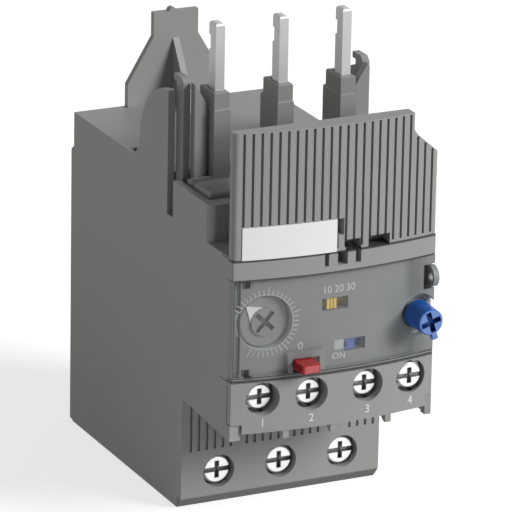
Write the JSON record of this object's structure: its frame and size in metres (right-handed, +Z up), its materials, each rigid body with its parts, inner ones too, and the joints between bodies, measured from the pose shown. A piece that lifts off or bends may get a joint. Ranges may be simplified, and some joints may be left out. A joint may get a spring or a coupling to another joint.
{
  "type": "electronic overload relay",
  "caption": "Grey three-pole electronic overload relay with contactor pins, ribbed cover, clear hinged window, setting dial, stop and reset buttons and screw terminals.",
  "frame": {"origin": "middle of the lower rear edge: on the rear face, the underside and the middle plane", "axes": "+X to the right seen from the front, +Y out of the rear face, +Z up along the pins"},
  "size_m": [0.045, 0.085, 0.1017],
  "materials": {
    "grey_shell": "matte",
    "grey_carrier": "matte",
    "label_card": "matte",
    "clear_window": "gloss",
    "dial_grey": "matte",
    "pointer_white": "matte",
    "slider_dark": "matte",
    "stop_red": "satin",
    "reset_blue": "satin",
    "carrier_black": "matte",
    "screw_steel": "satin",
    "pin_silver": "satin",
    "contact_brass": "satin",
    "core_steel": "satin",
    "winding_copper": "satin",
    "spring_steel": "satin",
    "board_green": "satin",
    "part_black": "satin"
  },
  "bodies": {
    "relay": {"housing": "grey_shell", "rear_plate": "grey_shell", "pin_carrier": "grey_carrier", "top_cover": "grey_shell", "marker_label": "label_card", "fascia": "grey_shell", "aux_block": "grey_shell", "aux_strip_1": "contact_brass", "aux_strip_2": "contact_brass", "aux_strip_3": "contact_brass", "aux_strip_4": "contact_brass", "pole_bar_1": "pin_silver", "pole_bar_2": "pin_silver", "pole_bar_3": "pin_silver", "ct_core_1": "core_steel", "ct_core_2": "core_steel", "ct_core_3": "core_steel", "ct_winding_1": "winding_copper", "ct_winding_2": "winding_copper", "ct_winding_3": "winding_copper", "magnet_yoke": "core_steel", "trip_coil": "winding_copper", "control_board": "board_green", "control_chips": "part_black", "potentiometer": "part_black", "class_switch": "part_black", "test_switch": "part_black", "supply_board": "board_green", "capacitors": "part_black", "stop_spring": "spring_steel", "reset_spring": "spring_steel"},
    "window": {"window": "clear_window"},
    "dial": {"setting_dial": "dial_grey", "dial_pointer": "pointer_white"},
    "class_slider": {"class_slider": "slider_dark"},
    "test_slider": {"test_slider": "slider_dark"},
    "stop_button": {"stop_button": "stop_red"},
    "reset_plunger": {"reset_plunger": "reset_blue"},
    "reset_knob": {"reset_knob": "reset_blue"},
    "contact_carrier": {"contact_carrier": "carrier_black", "trip_plunger": "core_steel", "bridge_nc": "contact_brass", "bridge_no": "contact_brass", "spring_nc": "spring_steel", "spring_no": "spring_steel"},
    "main_screw_1": {"main_screw_1": "screw_steel"},
    "main_cage_1": {"main_cage_1": "screw_steel"},
    "main_screw_2": {"main_screw_2": "screw_steel"},
    "main_cage_2": {"main_cage_2": "screw_steel"},
    "main_screw_3": {"main_screw_3": "screw_steel"},
    "main_cage_3": {"main_cage_3": "screw_steel"},
    "aux_plate_1": {"aux_plate_1": "screw_steel"},
    "aux_screw_1": {"aux_screw_1": "screw_steel"},
    "aux_plate_2": {"aux_plate_2": "screw_steel"},
    "aux_screw_2": {"aux_screw_2": "screw_steel"},
    "aux_plate_3": {"aux_plate_3": "screw_steel"},
    "aux_screw_3": {"aux_screw_3": "screw_steel"},
    "aux_plate_4": {"aux_plate_4": "screw_steel"},
    "aux_screw_4": {"aux_screw_4": "screw_steel"}
  },
  "joints": [
    {"name": "window_swing", "type": "hinge", "parent": "relay", "child": "window", "pos_m": [-0.0209, -0.0784, 0.0464], "axis": [0, 0, -1], "range_deg": [0, 100]},
    {"name": "dial_turn", "type": "hinge", "parent": "relay", "child": "dial", "pos_m": [-0.01495, -0.0778, 0.04705], "axis": [0, 1, 0], "range_deg": [0, 270]},
    {"name": "class_slide", "type": "slide", "parent": "relay", "child": "class_slider", "axis": [1, 0, 0], "range_m": [-0.0012, 0.0024]},
    {"name": "test_slide", "type": "slide", "parent": "relay", "child": "test_slider", "axis": [1, 0, 0], "range_m": [0, 0.0021]},
    {"name": "stop_press", "type": "slide", "parent": "relay", "child": "stop_button", "axis": [0, 1, 0], "range_m": [0, 0.0015], "stiffness_N_per_m": 300, "springref_m": -0.001, "deforming": ["stop_spring"]},
    {"name": "carrier_slide", "type": "slide", "parent": "relay", "child": "contact_carrier", "axis": [0, 1, 0], "range_m": [0, 0.0015]},
    {"name": "reset_press", "type": "slide", "parent": "relay", "child": "reset_plunger", "axis": [0, 1, 0], "range_m": [0, 0.0015], "stiffness_N_per_m": 300, "springref_m": -0.001, "deforming": ["reset_spring"]},
    {"name": "reset_turn", "type": "hinge", "parent": "reset_plunger", "child": "reset_knob", "pos_m": [0.0187, -0.082, 0.0444], "axis": [0, 1, 0], "range_deg": [0, 45]},
    {"name": "main_screw_1_turn", "type": "hinge", "parent": "relay", "child": "main_screw_1", "pos_m": [-0.01405, -0.05335, 0.00735], "axis": [0, 1, 0], "range_deg": [0, 1080]},
    {"name": "main_cage_1_slide", "type": "slide", "parent": "relay", "child": "main_cage_1", "axis": [0, -1, 0], "range_m": [0, 0.0024]},
    {"name": "main_screw_2_turn", "type": "hinge", "parent": "relay", "child": "main_screw_2", "pos_m": [0, -0.05335, 0.00735], "axis": [0, 1, 0], "range_deg": [0, 1080]},
    {"name": "main_cage_2_slide", "type": "slide", "parent": "relay", "child": "main_cage_2", "axis": [0, -1, 0], "range_m": [0, 0.0024]},
    {"name": "main_screw_3_turn", "type": "hinge", "parent": "relay", "child": "main_screw_3", "pos_m": [0.01405, -0.05335, 0.00735], "axis": [0, 1, 0], "range_deg": [0, 1080]},
    {"name": "main_cage_3_slide", "type": "slide", "parent": "relay", "child": "main_cage_3", "axis": [0, -1, 0], "range_m": [0, 0.0024]},
    {"name": "aux_plate_1_slide", "type": "slide", "parent": "relay", "child": "aux_plate_1", "axis": [0, 1, 0], "range_m": [0, 0.003]},
    {"name": "aux_screw_1_turn", "type": "hinge", "parent": "aux_plate_1", "child": "aux_screw_1", "pos_m": [-0.0159, -0.07638, 0.0315], "axis": [0, 1, 0], "range_deg": [0, 1800]},
    {"name": "aux_plate_2_slide", "type": "slide", "parent": "relay", "child": "aux_plate_2", "axis": [0, 1, 0], "range_m": [0, 0.003]},
    {"name": "aux_screw_2_turn", "type": "hinge", "parent": "aux_plate_2", "child": "aux_screw_2", "pos_m": [-0.0056, -0.07741, 0.0315], "axis": [0, 1, 0], "range_deg": [0, 1800]},
    {"name": "aux_plate_3_slide", "type": "slide", "parent": "relay", "child": "aux_plate_3", "axis": [0, 1, 0], "range_m": [0, 0.003]},
    {"name": "aux_screw_3_turn", "type": "hinge", "parent": "aux_plate_3", "child": "aux_screw_3", "pos_m": [0.0069, -0.07733, 0.0315], "axis": [0, 1, 0], "range_deg": [0, 1800]},
    {"name": "aux_plate_4_slide", "type": "slide", "parent": "relay", "child": "aux_plate_4", "axis": [0, 1, 0], "range_m": [0, 0.003]},
    {"name": "aux_screw_4_turn", "type": "hinge", "parent": "aux_plate_4", "child": "aux_screw_4", "pos_m": [0.0171, -0.0773, 0.0315], "axis": [0, 1, 0], "range_deg": [0, 1800]}
  ],
  "couplings": [
    {"joint": "carrier_slide", "follows": "stop_press", "ratio": 1},
    {"joint": "main_screw_1_turn", "follows": "main_cage_1_slide", "rad_per_m": 7854},
    {"joint": "main_screw_2_turn", "follows": "main_cage_2_slide", "rad_per_m": 7854},
    {"joint": "main_screw_3_turn", "follows": "main_cage_3_slide", "rad_per_m": 7854},
    {"joint": "aux_screw_1_turn", "follows": "aux_plate_1_slide", "rad_per_m": 10472},
    {"joint": "aux_screw_2_turn", "follows": "aux_plate_2_slide", "rad_per_m": 10472},
    {"joint": "aux_screw_3_turn", "follows": "aux_plate_3_slide", "rad_per_m": 10472},
    {"joint": "aux_screw_4_turn", "follows": "aux_plate_4_slide", "rad_per_m": 10472}
  ]
}
